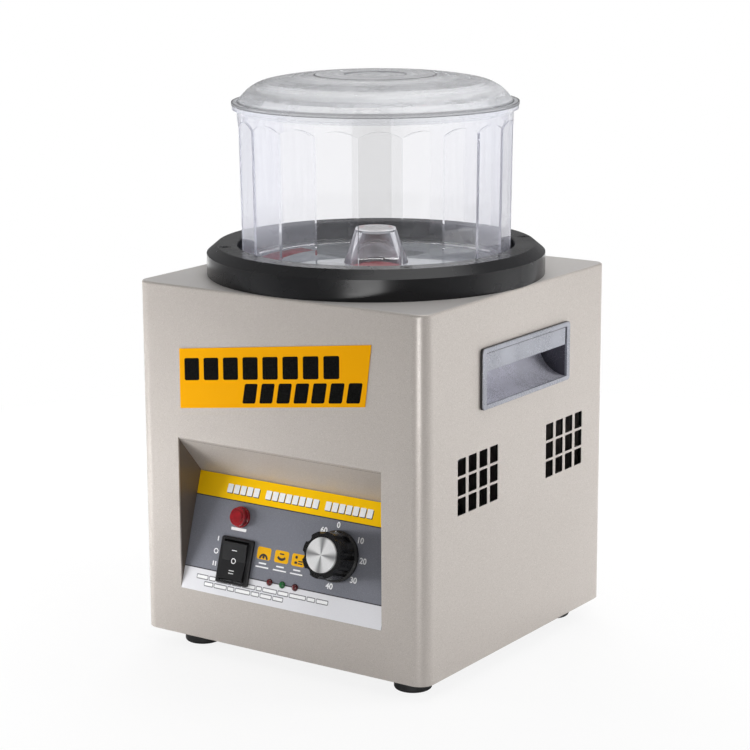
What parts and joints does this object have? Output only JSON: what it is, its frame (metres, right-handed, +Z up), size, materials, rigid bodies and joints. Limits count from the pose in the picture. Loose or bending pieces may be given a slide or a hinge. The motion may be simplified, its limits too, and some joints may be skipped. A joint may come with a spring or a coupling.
{
  "type": "magnetic tumbler",
  "caption": "Bench-top magnetic tumbler: square steel casing with a sloping sunken control panel, clear faceted bowl with domed lid in a black seat ring.",
  "frame": {"origin": "on the table, under the middle of the machine's footprint", "axes": "+Z up along the bowl and motor axis, front control panel towards -Y, +X to the right seen from the front"},
  "size_m": [0.235, 0.252, 0.3855],
  "materials": {
    "casing_paint": "satin, fine texture",
    "zinc_steel": "zinc plated",
    "panel_print": "printed overlay in grey, yellow and silver bands",
    "label_yellow": "printed sticker",
    "ring_black": "moulded black, satin",
    "floor_metal": "satin",
    "label_red": "printed sticker, red ring on silver",
    "black_screw": "blackened steel",
    "handle_grey": "moulded, satin",
    "black_rubber": "matte",
    "lens_red": "translucent red",
    "led_red": "translucent red",
    "led_green": "translucent green",
    "black_plastic": "moulded black",
    "knob_black": "moulded black",
    "spun_aluminium": "spun finish",
    "board_green": "circuit board",
    "relay_blue": "moulded",
    "terminal_green": "moulded",
    "white_plastic": "moulded",
    "cast_aluminium": "cast",
    "core_steel": "stacked sheets",
    "copper_wire": "enamelled copper winding",
    "bright_steel": "ground and polished",
    "magnet_nickel": "nickel plated",
    "brass": "plated contacts",
    "fuse_glass": "clear",
    "wire_sleeve": "coloured sleeves",
    "clear_plastic": "clear moulded"
  },
  "bodies": {
    "casing": {"housing_shell": "casing_paint", "rear_panel": "casing_paint", "base_plate": "zinc_steel", "control_recess": "casing_paint", "control_panel": "panel_print", "front_label": "label_yellow", "handle_right": "handle_grey", "handle_left": "handle_grey", "handle_gaskets": "black_rubber", "rubber_feet": "black_rubber", "foot_screws": "zinc_steel", "casing_screws": "zinc_steel", "seat_ring": "ring_black", "ring_screws": "black_screw", "seat_floor": "floor_metal", "floor_label": "label_red", "lamp_lens": "lens_red", "lamp_housing": "black_plastic", "switch_housing": "black_plastic", "timer_body": "white_plastic", "timer_nut": "zinc_steel", "red_leds": "led_red", "green_led": "led_green", "led_board": "board_green", "power_inlet": "black_plastic", "inlet_blades": "brass", "inlet_screws": "zinc_steel", "fuse_holder": "black_plastic", "control_board": "board_green", "board_standoffs": "white_plastic", "board_transformer": "black_plastic", "board_relays": "relay_blue", "terminal_block": "terminal_green", "run_capacitor": "white_plastic", "capacitor_clamp": "zinc_steel", "wiring_harness": "wire_sleeve", "motor_plate": "zinc_steel", "plate_posts": "zinc_steel", "motor_housing": "cast_aluminium", "stator_core": "core_steel", "stator_windings": "copper_wire", "top_end_bell": "cast_aluminium", "bottom_end_bell": "cast_aluminium", "motor_bearings": "bright_steel", "motor_bolts": "zinc_steel"},
    "drive_rotor": {"motor_shaft": "bright_steel", "rotor_core": "core_steel", "cooling_fan": "black_plastic", "disc_hub": "cast_aluminium", "magnet_disc": "spun_aluminium", "disc_magnets": "magnet_nickel", "hub_screws": "zinc_steel"},
    "timer_dial": {"timer_knob": "knob_black", "knob_cap": "spun_aluminium", "timer_shaft": "bright_steel"},
    "switch_rocker": {"rocker_paddle": "black_plastic"},
    "fuse_carrier": {"fuse_cap": "black_plastic", "fuse": "fuse_glass"},
    "bowl_unit": {"bowl": "clear_plastic"},
    "lid_unit": {"lid": "clear_plastic"}
  },
  "joints": [
    {"name": "rotor_spin", "type": "hinge", "parent": "casing", "child": "drive_rotor", "pos_m": [0, 0, 0.24], "axis": [0, 0, 1], "continuous": true},
    {"name": "timer_turn", "type": "hinge", "parent": "casing", "child": "timer_dial", "pos_m": [0.0395, -0.10379, 0.08267], "axis": [0, 0.9558, -0.2941], "range_deg": [0, 326]},
    {"name": "rocker_tilt", "type": "hinge", "parent": "casing", "child": "switch_rocker", "pos_m": [-0.0403, -0.10766, 0.0667], "axis": [1, 0, 0], "range_deg": [-12, 12]},
    {"name": "fuse_turn", "type": "hinge", "parent": "casing", "child": "fuse_carrier", "pos_m": [-0.012, 0.1175, 0.052], "axis": [0, 1, 0], "range_deg": [0, 90]},
    {"name": "bowl_lift", "type": "slide", "parent": "casing", "child": "bowl_unit", "axis": [0, 0, 1], "range_m": [0, 0.06]},
    {"name": "lid_lift", "type": "slide", "parent": "bowl_unit", "child": "lid_unit", "axis": [0, 0, 1], "range_m": [0, 0.06]}
  ]
}
